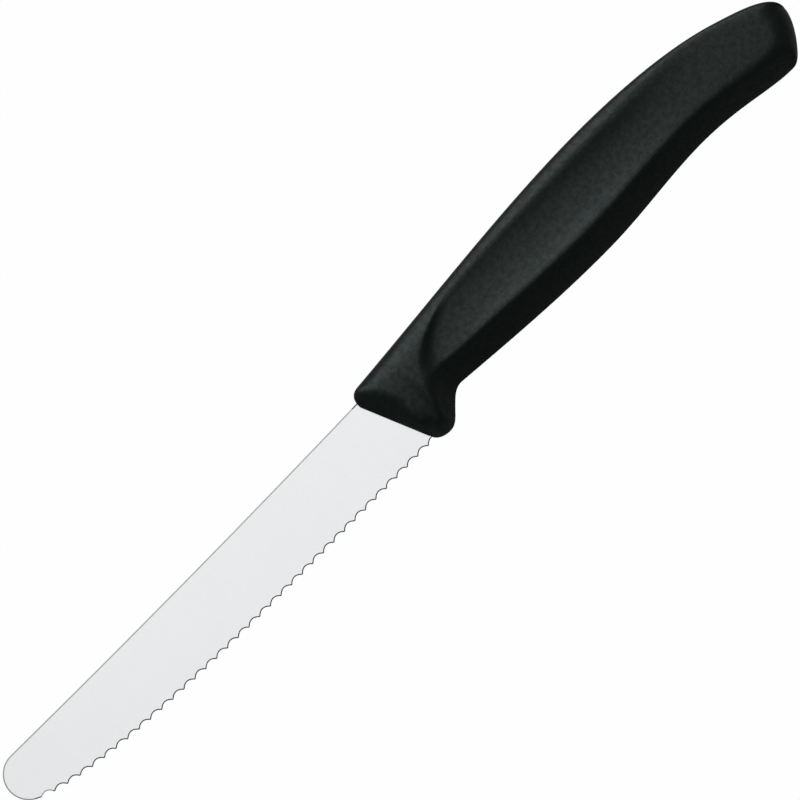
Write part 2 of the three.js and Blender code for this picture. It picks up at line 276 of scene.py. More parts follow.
@contextmanager
def reshaped(piece: Thing) -> Iterator[bmesh.types.BMesh]:
    """Opens a piece's mesh for changes and closes it again.

    Args:
        piece: The piece.

    Yields:
        Its mesh, open for changes.
    """
    shell = bmesh.new()
    shell.from_mesh(piece.data)
    yield shell
    shell.to_mesh(piece.data)
    shell.free()


def smooth_by_angle(piece: Thing, degrees: float) -> None:
    """Shades a piece smooth, with sharp edges where its faces turn further than an angle.

    Args:
        piece: The piece.
        degrees: The angle.
    """
    for polygon in piece.data.polygons:
        polygon.use_smooth = True
    piece.data.set_sharp_from_angle(angle=math.radians(degrees))


Value = Union["Socket", float, int, bool, str, tuple, bpy.types.ID]
Inputs = dict[Any, Value]


@dataclass(frozen=True)
class Socket:
    """A node's output, with arithmetic that adds the nodes for it."""

    nodes: "Nodes"
    link: bpy.types.NodeSocket

    def __add__(self, other: Value) -> "Socket":
        """Sum."""
        return self.nodes.maths("ADD", self, other)

    __radd__ = __add__

    def __sub__(self, other: Value) -> "Socket":
        """Difference."""
        return self.nodes.maths("SUBTRACT", self, other)

    def __rsub__(self, other: Value) -> "Socket":
        """Difference from a number."""
        return self.nodes.maths("SUBTRACT", other, self)

    def __mul__(self, other: Value) -> "Socket":
        """Product."""
        return self.nodes.maths("MULTIPLY", self, other)

    def __truediv__(self, other: Value) -> "Socket":
        """Quotient."""
        return self.nodes.maths("DIVIDE", self, other)

    def __abs__(self) -> "Socket":
        """Size without its sign."""
        return self.nodes.maths("ABSOLUTE", self)

    def step(self, low: float, high: float) -> "Socket":
        """Goes smoothly from 0 at low to 1 at high, where high may be the smaller number."""
        sockets = {"Value": self, "From Min": low, "From Max": high}
        return self.nodes.value("ShaderNodeMapRange", "Result", sockets, interpolation_type="SMOOTHSTEP")


@dataclass(frozen=True)
class Arrow(Socket):
    """A node's vector output, with vector arithmetic."""

    def __add__(self, other: Value) -> "Arrow":
        """Sum of two vectors."""
        return self.nodes.vector("ADD", {0: self, 1: other})

    def __mul__(self, other: Value) -> "Arrow":
        """Vector scaled by a number."""
        return self.nodes.vector("SCALE", {0: self, "Scale": other})

    def times(self, other: Value) -> "Arrow":
        """Vector multiplied part by part."""
        return self.nodes.vector("MULTIPLY", {0: self, 1: other})

    def cross(self, other: Value) -> "Arrow":
        """Vector square to two others."""
        return self.nodes.vector("CROSS_PRODUCT", {0: self, 1: other})

    def parts(self) -> tuple[Socket, ...]:
        """The vector's x, y and z."""
        made = self.nodes.node("ShaderNodeSeparateXYZ", {"Vector": self})
        return tuple(Socket(self.nodes, output) for output in made.outputs)


@dataclass(frozen=True)
class Nodes:
    """Adds nodes to a node tree."""

    tree: bpy.types.NodeTree

    def node(self, kind: str, sockets: Inputs | None = None, **settings: Any) -> bpy.types.Node:
        """Adds one node.

        Args:
            kind: The node's type.
            sockets: Values or links of its inputs, by name or number.
            settings: Its settings, by name.

        Returns:
            The node.
        """
        made = self.tree.nodes.new(kind)
        for name, setting in settings.items():
            setattr(made, name, setting)
        for name, given in (sockets or {}).items():
            if isinstance(given, Socket):
                self.tree.links.new(given.link, made.inputs[name])
            else:
                made.inputs[name].default_value = given
        return made

    def value(self, kind: str, output: Any, sockets: Inputs | None = None, **settings: Any) -> Socket:
        """Adds one node and gives one of its outputs as a value."""
        return Socket(self, self.node(kind, sockets, **settings).outputs[output])

    def arrow(self, kind: str, output: Any, sockets: Inputs | None = None, **settings: Any) -> Arrow:
        """Adds one node and gives one of its outputs as a vector."""
        return Arrow(self, self.node(kind, sockets, **settings).outputs[output])

    def maths(self, operation: str, *terms: Value) -> Socket:
        """Adds a Math node on values."""
        return self.value("ShaderNodeMath", 0, dict(enumerate(terms)), operation=operation)

    def vector(self, operation: str, sockets: Inputs) -> Arrow:
        """Adds a Vector Math node."""
        return self.arrow("ShaderNodeVectorMath", 0, sockets, operation=operation)

    def noise(self, place: Value, size: float, detail: float = 2.0, roughness: float = 0.5) -> Socket:
        """Noise whose features are about a size in millimetres wide."""
        sockets = {"Vector": place, "Scale": 1 / (size * MM), "Detail": detail, "Roughness": roughness}
        return self.value("ShaderNodeTexNoise", 0, sockets, noise_dimensions="3D")

    def cells(self, place: Value, size: float) -> Socket:
        """Distance to the nearest of scattered points, which lie about a size in millimetres apart."""
        sockets = {"Vector": place, "Scale": 1 / (size * MM)}
        return self.value("ShaderNodeTexVoronoi", "Distance", sockets)

    def tint(self, share: Value, low: Value, high: tuple) -> Arrow:
        """Colour between two colours, of which the first may be a node's."""
        sockets = {0: share, 6: low if isinstance(low, Socket) else (*low, 1.0), 7: (*high, 1.0)}
        return self.arrow("ShaderNodeMix", 2, sockets, data_type="RGBA")

    def bump(self, height: Value, depth: float) -> Arrow:
        """Surface direction changed by a height, whose full depth is in millimetres."""
        sockets = {"Height": height, "Strength": 1.0, "Distance": depth * MM}
        return self.arrow("ShaderNodeBump", "Normal", sockets)

    def surface(self, shader: Socket) -> None:
        """Makes a shader the material's surface."""
        self.node("ShaderNodeOutputMaterial", {"Surface": shader})


def new_material(name: str) -> tuple[Finish, Nodes]:
    """Makes a material without nodes.

    Args:
        name: The material's name.

    Returns:
        The material, and what adds nodes to it.
    """
    material = bpy.data.materials.new(name)
    material.use_nodes = True
    material.node_tree.nodes.clear()
    return material, Nodes(material.node_tree)


@dataclass(frozen=True)
class SatinSteel:
    """Stainless steel, fine ground across the blade and lightly polished."""

    light: tuple = (0.668, 0.675, 0.680)
    dark: tuple = (0.646, 0.653, 0.658)
    # painted shade: the rims and the line along the teeth get this dark colour in place of the dark line
    # that the edges show; the added roughness below is the sheared edges' real dullness
    rim: tuple = (0.10, 0.104, 0.106)
    roughness: float = 0.2
    rim_roughness: float = 0.3  # added on the rims
    line_width: float = 0.06
    line_length: float = 9.0
    line_depth: float = 0.0005
    lean: float = 4.0  # degrees of the grinding lines off the square across
    line_swing: float = 0.08  # of the roughness, from line to line
    cloud: float = 14.0
    cloud_swing: float = 0.03  # of the roughness, from cloud to cloud

    def material(self) -> Finish:
        """Builds the finish.

        Returns:
            The material.
        """
        material, nodes = new_material("satin_steel")
        place = nodes.arrow("ShaderNodeTexCoord", "Object")
        turn = (0, 0, math.radians(self.lean))
        turned = nodes.arrow("ShaderNodeMapping", 0, {"Vector": place, "Rotation": turn})
        stretch = self.line_width / self.line_length
        stretched = turned.times((1, stretch, stretch))
        lines = nodes.noise(stretched, self.line_width, detail=3.0, roughness=0.6)
        clouds = nodes.noise(place, self.cloud)
        rim = nodes.value("ShaderNodeAttribute", "Fac", attribute_name=RIM)
        ground = nodes.tint(lines * 0.5 + clouds * 0.5, self.dark, self.light)
        # painted shade on the rims and on the line along the teeth
        tint = nodes.tint(rim, ground, self.rim)
        rough = self.roughness + (lines - 0.5) * self.line_swing + (clouds - 0.5) * self.cloud_swing
        rough = rough + rim * self.rim_roughness
        normal = nodes.bump(lines, self.line_depth)
        sockets = {"Base Color": tint, "Metallic": 1.0, "Roughness": rough, "Normal": normal}
        nodes.surface(nodes.value("ShaderNodeBsdfPrincipled", 0, sockets))
        return material


@dataclass(frozen=True)
class GrainedPlastic:
    """Black polypropylene with the fine eroded grain of its mould."""

    parting_level: float  # metres from the part's zero up to the mould's parting line
    dark: tuple = (0.0052, 0.0088, 0.0065)
    light: tuple = (0.0069, 0.0112, 0.0084)
    gloss: tuple = (0.83, 0.955, 1.0)
    roughness: float = 0.42
    specular: float = 0.2
    sheen: float = 0.25  # of the glossier spots
    sheen_roughness: float = 0.4
    mottle: float = 1.1
    mottle_range: tuple = (0.3, 0.7)  # of the noise, from plain to glossy
    grain: float = 0.4
    grain_depth: float = 0.04
    grain_swing: float = 0.15  # of the roughness, from grain to grain
    pit: float = 0.24
    pit_share: float = 0.12  # of the grain's depth
    cloud: float = 9.0
    cloud_swing: float = 0.06  # of the roughness, from cloud to cloud
    parting_width: float = 0.12
    parting_share: float = 0.25  # of the grain's depth

    def material(self) -> Finish:
        """Builds the finish.

        Returns:
            The material.
        """
        material, nodes = new_material("grained_plastic")
        place = nodes.arrow("ShaderNodeTexCoord", "Object")
        grain = nodes.noise(place, self.grain, detail=3.0, roughness=0.55)
        pits = nodes.cells(place, self.pit)
        clouds = nodes.noise(place, self.cloud)
        mottle = nodes.noise(place, self.mottle, detail=4.0, roughness=0.65).step(*self.mottle_range)
        level = place.parts()[2]
        parting = abs(level - self.parting_level).step(self.parting_width * MM, 0.0)
        tint = nodes.tint(grain * 0.7 + clouds * 0.3, self.dark, self.light)
        rough = self.roughness + (grain - 0.5) * self.grain_swing + (clouds - 0.5) * self.cloud_swing
        height = grain + pits * self.pit_share + parting * self.parting_share
        sockets = {
            "Base Color": tint,
            "Roughness": rough,
            "Specular IOR Level": self.specular,
            "Specular Tint": (*self.gloss, 1.0),
            "Coat Weight": mottle * self.sheen,
            "Coat Roughness": self.sheen_roughness,
            "Normal": nodes.bump(height, self.grain_depth),
        }
        nodes.surface(nodes.value("ShaderNodeBsdfPrincipled", 0, sockets))
        return material


@dataclass
class RowOfHollows:
    """Round hollows cut into a piece at even steps along a line."""

    pitch: float
    radius: float
    set_in: float  # from the line to where a hollow is to reach the near face, in the plan
    stand_off: float  # from there to the hollow's axis
    tilt: float  # degrees between the hollow's axis and the plan
    face_level: float  # half thickness of the piece at the spine
    face_slope: float  # and how much it loses for each unit of depth
    length: float = 8.0
    sides: int = 160
    slack: float = 1.0001  # keeps the last whole step on the line

    def tree(self, datum: Datum) -> bpy.types.NodeTree:
        """Node tree that cuts the hollows.

        Args:
            datum: The knife's zero point.

        Returns:
            The tree, with named inputs for its sizes.
        """
        made = bpy.data.node_groups.new("row_of_hollows", "GeometryNodeTree")
        nodes = Nodes(made)
        sizes = ("Pitch", "Radius", "Set in", "Stand off", "Tilt", "Face level", "Face slope", "Length")
        kinds = {"Geometry": "Geometry", "Line": "Object", **dict.fromkeys(sizes, "Float")}
        kinds["Material"] = "Material"
        for name, kind in kinds.items():
            made.interface.new_socket(name, in_out="INPUT", socket_type=f"NodeSocket{kind}")
        made.interface.new_socket("Geometry", in_out="OUTPUT", socket_type="NodeSocketGeometry")
        source = nodes.node("NodeGroupInput")
        given = {name: Socket(nodes, source.outputs[name]) for name in kinds}

        line = nodes.value("GeometryNodeObjectInfo", "Geometry", {0: given["Line"]})
        run = nodes.value("GeometryNodeCurveLength", 0, {"Curve": line})
        whole = nodes.maths("FLOOR", run / given["Pitch"]) * given["Pitch"]
        ends = {"Curve": line, 4: 0.0, 5: whole * self.slack}
        trimmed = nodes.value("GeometryNodeTrimCurve", 0, ends, mode="LENGTH")
        steps = {"Curve": trimmed, "Length": given["Pitch"]}
        spread = nodes.node("GeometryNodeCurveToPoints", steps, mode="LENGTH")
        points = Socket(nodes, spread.outputs["Points"])
        tangent = Arrow(nodes, spread.outputs["Tangent"])
        up = (0.0, 0.0, 1.0)
        inward = tangent.cross(up)
        drop = nodes.maths("SINE", given["Tilt"]) * -1.0
        down = nodes.arrow("ShaderNodeCombineXYZ", 0, {"Z": drop})
        axis = inward * nodes.maths("COSINE", given["Tilt"]) + down
        away = tangent.cross(axis)
        reached = nodes.arrow("GeometryNodeInputPosition", 0) + inward * given["Set in"]
        x, y, _ = reached.parts()
        depth = datum.origin.y - y
        level = given["Face level"] - given["Face slope"] * depth + datum.origin.z
        apex = nodes.arrow("ShaderNodeCombineXYZ", 0, {"X": x, "Y": y, "Z": level})
        centre = apex + away * given["Stand off"]
        moved = {"Geometry": points, "Position": centre}
        placed = nodes.value("GeometryNodeSetPosition", 0, moved)
        turn = nodes.value(
            "FunctionNodeAxesToRotation", 0, {"Primary Axis": axis, "Secondary Axis": tangent},
            primary_axis="Z", secondary_axis="X",
        )
        round_bar = {"Vertices": self.sides, "Radius": given["Radius"], "Depth": given["Length"]}
        wheel = nodes.value("GeometryNodeMeshCylinder", "Mesh", round_bar, fill_type="NGON")
        set_out = {"Points": placed, "Instance": wheel, "Rotation": turn}
        wheels = nodes.value("GeometryNodeInstanceOnPoints", 0, set_out)
        cut = nodes.value(
            "GeometryNodeMeshBoolean", "Mesh", {"Mesh 1": given["Geometry"], "Mesh 2": wheels},
            operation=Cut.REMOVE.value, solver="EXACT",
        )
        real = nodes.value("GeometryNodeRealizeInstances", 0, {"Geometry": cut})
        sockets = {"Geometry": real, "Material": given["Material"]}
        dressed = nodes.value("GeometryNodeSetMaterial", 0, sockets)
        nodes.node("NodeGroupOutput", {"Geometry": dressed})
        return made

    def cut(self, piece: Thing, line: Thing, datum: Datum, finish: Finish) -> None:
        """Cuts the hollows into a piece.

        Args:
            piece: The piece, which gets a new mesh.
            line: Curve object that the hollows follow, which is used up.
            datum: The knife's zero point.
            finish: Material of the piece.
        """
        tree = self.tree(datum)
        lengths = {
            "Pitch": self.pitch, "Radius": self.radius, "Set in": self.set_in,
            "Stand off": self.stand_off, "Face level": self.face_level, "Length": self.length,
        }
        inputs = {name: length * MM for name, length in lengths.items()}
        inputs |= {"Tilt": math.radians(self.tilt), "Face slope": self.face_slope}
        inputs |= {"Line": line, "Material": finish}
        modifier = piece.modifiers.new("hollows", "NODES")
        modifier.node_group = tree
        for item in tree.interface.items_tree:
            if item.in_out == "INPUT" and item.name in inputs:
                modifier[item.identifier] = inputs[item.name]
        settle(piece)
        bpy.data.objects.remove(line)


@dataclass
class KnifePart:
    """What the knife's two pieces share."""

    datum: Datum
    blade_width: float = 16.2
    strip_thickness: float = 1.3  # of the unground heel and tang
    front_rake: float = 21.8  # degrees that the handle's front leans back

    @property
    def rake(self) -> float:
        """How far the handle's front goes back for each unit of depth."""
        return math.tan(math.radians(self.front_rake))


@dataclass
class Blade(KnifePart):
    """The steel: blade, heel and tang in one stamped and ground strip."""

    length: float = 110.0  # tip to handle, along the cutting edge
    spine_thickness: float = 1.2
    edge_thickness: float = 0.34
    tip_radius: float = 5.2
    tip_rise: float = 0.42  # of the tip above the line of the spine
    spine_sag: float = 0.45  # hollow of the spine between handle and tip
    tip_sweep: float = 27.5  # degrees left to the lowest point where the tip's arc ends
    belly_length: float = 88.0
    belly_fullness: float = 44.0
    belly_lead: float = 12.4
    tooth_pitch: float = 3.0
    tooth_depth: float = 0.7
    tooth_land: float = 0.36
    tooth_angle: float = 22.0
    tooth_start: float = 0.5  # middle of the first hollow, ahead of the handle
    heel_inset: float = 3.2
    heel_radius: float = 2.0
    tang_axis: float = 4.6
    tang_width: float = 8.6
    tang_end_width: float = 6.2
    tang_length: float = 72.0
    tang_hole: float = 3.8
    tang_hole_first: float = 25.0
    tang_hole_pitch: float = 18.0
    tang_hole_sides: int = 48
    ground_inset: float = 0.8  # where the unground strip starts, behind the handle's front
    ground_overlap: float = 0.8  # and how far the ground blade runs into it
    strip_step: float = 0.12  # how far the unground strip stands back from the outline
    corner: float = 0.25  # rounding of the spine's and the tip's corners
    shade_line_width: float = 0.24  # width of the line along the teeth that gets painted shade and more roughness
    sheared_and_shaded: float = 0.85  # how much painted shade, and dullness of the sheared edge, the spine's and the tip's rims get beside it
    rim_line_shade: float = 0.45  # the same painted shade and roughness for a line beside those rims
    side_rise: float = 0.9995  # least upward part of the near side's direction
    side_lean: float = -0.01  # and its most part towards the spine
    rim_rise: tuple = (-0.8, 0.99)  # upward part of a rim's direction
    wall_rise: float = 0.5  # most upward part of a tooth's wall's direction
    crease: float = 14.0  # degrees between faces from which an edge is sharp
    spine_steps: int = 40
    tip_steps: int = 48
    belly_steps: int = 90
    tang_end_steps: int = 24
    heel_steps: int = 10
    corner_steps: int = 4
    line_steps: int = 128

    @property
    def thinning(self) -> float:
        """How much each side falls away for each unit of depth."""
        return (self.spine_thickness - self.edge_thickness) / (2 * self.blade_width)

    @property
    def tip_centre(self) -> Array:
        """Middle of the tip's arc."""
        tip = self.rake * self.blade_width - self.length
        return np.array([tip + self.tip_radius, self.tip_rise - self.tip_radius])

    @property
    def tip_end(self) -> float:
        """Angle at which the tip's arc ends, in degrees."""
        return 270 - self.tip_sweep

    def belly(self) -> list[Array]:
        """Works out the belly's curve, from the parallel stretch to the tip.

        Returns:
            Its four control points.
        """
        spoke = heading_of(self.tip_end)
        end = self.tip_centre + spoke * self.tip_radius
        lead = end + np.array([-spoke[1], spoke[0]]) * self.belly_lead
        start = np.array([end[0] + self.belly_length, -self.blade_width])
        return [start, start - np.array([self.belly_fullness, 0]), lead, end]

    def front(self, depth: float, inset: float) -> Array:
        """Point of the plan at a depth, an inset behind the handle's raked front."""
        return np.array([self.rake * depth + inset, -depth])

    def ground_outline(self) -> tuple[Array, int]:
        """Works out the plan of the ground blade.

        Returns:
            Its outline, and how many of the first points are spine and tip.
        """
        rear = self.ground_inset + self.ground_overlap
        start = self.front(0, rear)
        tip = arc(self.tip_centre, self.tip_radius, 90, self.tip_end, self.tip_steps)
        share = np.linspace(0, 1, self.spine_steps + 1)[:-1, None]
        spine = lerp(start, tip[0], share)
        spine[:, 1:] -= 4 * self.spine_sag * share * (1 - share)
        belly = cubic(self.belly()[::-1], self.belly_steps)
        points = [spine, tip, belly[1:], self.front(self.blade_width, rear)[None]]
        return np.vstack(points), len(spine) + len(tip)

    def strip_outline(self) -> Array:
        """Works out the plan of the unground heel and tang.

        Returns:
            Its outline.
        """
        top = self.strip_step
        low = self.blade_width - self.strip_step
        end_half = self.tang_end_width / 2
        end_x = self.tang_length - end_half

        def tang_half(x: float) -> float:
            """Half the tang's width at a place along it."""
            return lerp(self.tang_width, self.tang_end_width, x / end_x) / 2

        shoulder = self.rake * self.tang_axis + self.heel_inset
        end = arc(np.array([end_x, -self.tang_axis]), end_half, 90, -90, self.tang_end_steps)
        root = self.front(self.tang_axis + self.tang_width / 2, self.heel_inset)
        root[1] = -self.tang_axis - tang_half(root[0])
        heel = self.front(low, self.heel_inset)
        before = self.front(low - self.heel_radius, self.heel_inset)
        after = heel - np.array([self.heel_radius, 0])
        leave, arrive = (lerp(point, heel, 2 / 3) for point in (before, after))
        corner = cubic([before, leave, arrive, after], self.heel_steps)
        return np.vstack([
            self.front(top, self.ground_inset)[None],
            [[shoulder, -top]],
            [[shoulder, -self.tang_axis + tang_half(shoulder)]],
            end,
            root[None],
            corner,
            self.front(low, self.ground_inset)[None],
        ])

    def slab(self, name: str, outline: Array, half: Array) -> Thing:
        """Solid of a plan outline.

        Args:
            name: The object's name.
            outline: Points of the plan, one a row.
            half: Half the thickness over each point.

        Returns:
            The object.
        """
        count = len(outline)
        upper = np.column_stack([outline, half])
        lower = np.column_stack([outline, -half])
        following = [(i + 1) % count for i in range(count)]
        walls = [(i, j, count + j, count + i) for i, j in enumerate(following)]
        faces = [range(count), range(2 * count - 1, count - 1, -1), *walls]
        piece = self.datum.piece(name, np.vstack([upper, lower]), faces)
        with reshaped(piece) as shell:
            bmesh.ops.recalc_face_normals(shell, faces=shell.faces)
        return piece

    def round_corners(self, piece: Thing, count: int, rounded: int) -> None:
        """Rounds the spine's and the tip's corners of the ground slab.

        Args:
            piece: The slab.
            count: Points of its outline.
            rounded: How many of them, from the first, are spine and tip.
        """
        with reshaped(piece) as shell:
            edges = []
            for edge in shell.edges:
                first, last = sorted(vert.index for vert in edge.verts)
                same_side = (first < count) == (last < count)
                if same_side and last - first == 1 and last % count < rounded:
                    edges.append(edge)
            bmesh.ops.bevel(
                shell, geom=edges, offset=self.corner * MM, segments=self.corner_steps, profile=0.5,
                affect="EDGES", clamp_overlap=True,
            )

    def line(self, knots: Sequence[Sequence[Array]]) -> Thing:
        """Curve object in the plan.

        Args:
            knots: Each point that it passes, with the control points before and after that.

        Returns:
            The object.
        """
        curve = bpy.data.curves.new("line", "CURVE")
        curve.dimensions = "3D"
        spline = curve.splines.new("BEZIER")
        spline.bezier_points.add(len(knots) - 1)
        spline.resolution_u = self.line_steps
        for made, knot in zip(spline.bezier_points, knots):
            made.handle_left_type = made.handle_right_type = "FREE"
            places = self.datum.row(np.column_stack([knot, np.zeros(3)]))
            made.co, made.handle_left, made.handle_right = places.tolist()
        return link(bpy.data.objects.new("line", curve))

    def edge_line(self) -> Thing:
        """Draws the line of the tooth points, from the middle of the first hollow to the tip.

        Returns:
            The curve object.
        """
        first = self.front(self.blade_width, -self.tooth_start)
        start, tail, lead, end = self.belly()
        third = (start - first) / 3
        return self.line([
            (first, first, first + third),
            (start, start - third, tail),
            (end, lead, end),
        ])

    def tang_line(self) -> Thing:
        """Draws the line of the holes in the tang.

        Returns:
            The curve object.
        """
        first = np.array([self.tang_hole_first, -self.tang_axis])
        last = np.array([self.tang_length - self.tang_end_width, -self.tang_axis])
        third = (last - first) / 3
        return self.line([(first, first, first + third), (last, last - third, last)])

    def blank(self, finish: Finish) -> Thing:
        """Makes the steel as it is before its teeth are ground.

        Args:
            finish: Its material.

        Returns:
            The piece.
        """
        ground, rounded = self.ground_outline()
        half = self.spine_thickness / 2 + self.thinning * ground[:, 1]
        piece = self.slab("blade_steel", ground, half)
        self.round_corners(piece, len(ground), rounded)
        strip = self.strip_outline()
        tang = self.slab("tang", strip, np.full(len(strip), self.strip_thickness / 2))
        holes = RowOfHollows(
            pitch=self.tang_hole_pitch, radius=self.tang_hole / 2, set_in=0.0, stand_off=0.0, tilt=90.0,
            face_level=0.0, face_slope=0.0, sides=self.tang_hole_sides,
        )
        holes.cut(tang, self.tang_line(), self.datum, finish)
        return combine(piece, tang, Cut.JOIN)

    def on_near_side(self, face: bmesh.types.BMFace) -> bool:
        """Whether a face lies on the blade's ground side that looks up."""
        return face.normal.z > self.side_rise and face.normal.y < self.side_lean

    def mark_rims(self, piece: Thing) -> None:
        """Marks the sheared spine and tip and a narrow line along the teeth, where the finish paints
        shade and adds roughness.

        Args:
            piece: The steel with its teeth.
        """
        low, high = self.rim_rise
        with reshaped(piece) as shell:
            rim = shell.faces.layers.float.new(RIM)
            for face in shell.faces:
                # the rims get painted shade as well as the sheared edge's dullness
                face[rim] = self.sheared_and_shaded if low < face.normal.z < high else 0.0
            inner = [edge for edge in shell.edges if all(map(self.on_near_side, edge.link_faces))]
            bmesh.ops.dissolve_edges(shell, edges=inner, use_verts=False, use_face_split=False)
            near_side = [face for face in shell.faces if self.on_near_side(face)]
            ring = bmesh.ops.inset_individual(
                shell, faces=near_side, thickness=self.shade_line_width * MM, depth=0.0, use_even_offset=True
            )
            # the ring beside the tooth walls and beside the rims gets painted shade too
            for face in ring["faces"]:
                beside = [other for edge in face.edges for other in edge.link_faces]
                if any(other.normal.z < self.wall_rise for other in beside):
                    face[rim] = 1.0
                elif any(other[rim] > 0 for other in beside):
                    face[rim] = self.rim_line_shade

    def build(self, finish: Finish) -> Thing:
        """Grinds the teeth into the blank and dresses it.

        Args:
            finish: The steel's material.

        Returns:
            The piece.
        """
        blank = self.blank(finish)
        half_chord = (self.tooth_pitch - self.tooth_land) / 2
        sag = self.tooth_depth * math.sin(math.radians(self.tooth_angle))
        radius = (half_chord**2 + sag**2) / (2 * sag)
        hollows = RowOfHollows(
            pitch=self.tooth_pitch, radius=radius, set_in=self.tooth_depth, stand_off=radius,
            tilt=self.tooth_angle, face_level=self.spine_thickness / 2, face_slope=self.thinning,
        )
        hollows.cut(blank, self.edge_line(), self.datum, finish)
        self.mark_rims(blank)
        smooth_by_angle(blank, self.crease)
        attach(blank, BODY)
        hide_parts("blade")
        return blank


@dataclass
class Handle(KnifePart):
    """The plastic handle, moulded round the tang in one shot."""

    length: float = 116.85
    front_top: float = 1.15
    front_corner: float = 2.9
    spine_cover: float = 2.16
    back_crest: float = 67.7
    back_rise: float = 6.35
    back_fall: float = 12.65
    back_fall_rise: float = 2.0
    butt_depth: float = 6.0
    lip_height: float = 1.0
    guard_reach: float = 9.7
    guard_cover: float = 1.1
    flank: tuple = (0.48, 0.52)  # shares of the way from guard to choil, back and up
    choil_reach: float = 18.4
    choil_depth: float = 12.05
    swell_reach: float = 58.4
    swell_depth: float = 14.6
    waist_reach: float = 85.3
    waist_depth: float = 13.15
    hook_backset: float = 7.25
    hook_depth: float = 15.8
    end_backset: float = 3.4
    end_depth: float = 12.95
    half_thickness: float = 6.0
    back_wall: float = 2.4  # how high the back stands upright before it rounds over
    back_wall_end: float = 4.2
    back_edge: float = 0.3
    front_round: float = 7.2  # how wide it rounds over, at the front
    back_round: float = 14.0
    back_round_end: float = 3.0
    back_front: tuple = (12.0, 28.0)  # where the front's rounding gives way
    back_rear: tuple = (49.0, 104.0)  # and where the back's does
    guard_round: float = 4.0
    guard_crown: float = 3.2  # depth from where the guard's side falls away
    guard_crown_slope: float = 0.13
    guard_crown_round: float = 2.0
    guard_crown_radius: float = 120.0
    guard_facet_height: float = 8.8
    guard_facet_width: float = 8.0
    neck_facet_height: float = 6.6
    belly_facet_height: float = 7.7
    belly_facet_width: float = 9.0
    butt_facet_height: float = 8.8
    facet_power: float = 1.12
    butt_round: float = 6.4
    butt_round_height: float = 6.0
    scoop_floor: float = 3.8
    scoop_centre: float = 34.3
    scoop_radius: float = 20.0
    scoop_length_radius: float = 1500.0
    scoop_axis: float = 0.8
    scoop_axis_start: float = 25.3
    scoop_axis_radius: float = 830.0
    scoop_front: tuple = (15.0, 37.0)  # where the hollow's cross curve comes in
    scoop_front_share: float = 0.4
    scoop_rear: tuple = (73.0, 103.0)  # and where it goes out again
    scoop_end: float = 22.3
    scoop_end_lean: float = 1.6
    scoop_end_bow: float = 0.12
    scoop_end_slope: float = 0.5
    scoop_end_round: float = 1.8
    ridge_softness: float = 0.45
    guard_softness: float = 1.2
    flank_softness: float = 2.2
    belly_softness: float = 2.0
    butt_softness: float = 1.5
    bevel_softness: float = 3.0
    blend_share: float = 0.8  # most of a height that a blend may take
    mouth_gap: float = 0.25
    mouth_land: float = 0.7
    front_bevel: float = 51.0
    front_bevel_low: float = 69.0
    front_bevel_turn: float = 5.0
    front_bevel_end: float = 13.2
    fit: float = 0.02  # between the moulded plastic and the steel
    crease: float = 32.0  # degrees between faces from which an edge is sharp
    rings: int = 300
    ring_powers: tuple = (1.4, 2.0)  # how they crowd at the front and at the butt
    ring_turn: tuple = (0.6, 1.0)  # where the one gives way to the other
    across: int = 96
    back_stride: int = 4  # of the back's points, when distances are measured
    low_stride: int = 5  # the same for the belly's and the butt's

    def __post_init__(self) -> None:
        """Works out the outlines."""
        self.guard_depth = self.blade_width + self.guard_cover
        self.hook_x = self.length - self.hook_backset
        lip = self.blade_width - self.lip_height
        self.back = trace([
            Knot(self.rake * self.front_top, -self.front_top, 98.6, 0, 0.33),
            Knot(self.front_corner, self.spine_cover, 4.0, 0.54, 0.34),
            Knot(self.back_crest, self.back_rise, 0, 0.3, 0.35),
            Knot(self.length - self.back_fall, self.back_fall_rise, -17.9, 0.28, 0.49),
            Knot(self.length, -self.butt_depth, -90, 0.26),
        ])
        flank_x = lerp(self.guard_reach, self.choil_reach, self.flank[0])
        flank_depth = lerp(self.guard_depth, self.choil_depth, self.flank[1])
        self.belly = trace([
            Knot(self.rake * lip, -lip, self.front_rake - 90, 0, 0.4),
            Knot(self.guard_reach, -self.guard_depth, 0),
            Knot(flank_x, -flank_depth, 44, 0.45),
            Knot(self.choil_reach, -self.choil_depth, -5.3, 0.37, 0.29),
            Knot(self.swell_reach, -self.swell_depth, 0),
            Knot(self.waist_reach, -self.waist_depth, 0, 0.33, 0.46),
            Knot(self.hook_x, -self.hook_depth, 0, 0.27),
        ])
        self.butt = trace([
            Knot(self.hook_x, -self.hook_depth, 0, 0, 0.3),
            Knot(self.length - self.end_backset, -self.end_depth, 50, 0.38, 0.3),
            Knot(self.length, -self.butt_depth, 90, 0.27),
        ])

    def soft_min(self, first: Array, second: Array, softness: Any) -> Array:
        """The lower of two surfaces, with a rounded ridge where they meet.

        Args:
            first: Heights of one surface.
            second: Heights of the other.
            softness: Difference in height up to which the two blend.

        Returns:
            The blended heights.
        """
        lower = np.minimum(first, second)
        blend = np.maximum(np.minimum(softness, self.blend_share * lower), TINY)
        overlap = np.maximum(0, 1 - np.abs(first - second) / blend)
        return lower - blend * overlap**2 / 4

    def belly_facet(self, points: Array) -> Array:
        """The slanting facet that runs behind the guard and along the belly to the butt.

        Args:
            points: Points of the plan, one a row.

        Returns:
            One height for each point.
        """
        x = points[:, 0]
        neck = smoothstep(x, self.guard_reach, self.choil_reach)
        palm = smoothstep(x, self.choil_reach, self.swell_reach)
        end = smoothstep(x, self.waist_reach, self.hook_x)
        guard_height = lerp(self.guard_facet_height, self.neck_facet_height, neck)
        palm_height = lerp(guard_height, self.belly_facet_height, palm)
        height = lerp(palm_height, self.butt_facet_height, end)
        width = lerp(self.guard_facet_width, self.belly_facet_width, neck)
        inset = distance_to(self.belly[::self.low_stride], points)
        return rounding(inset, width, height, self.facet_power)

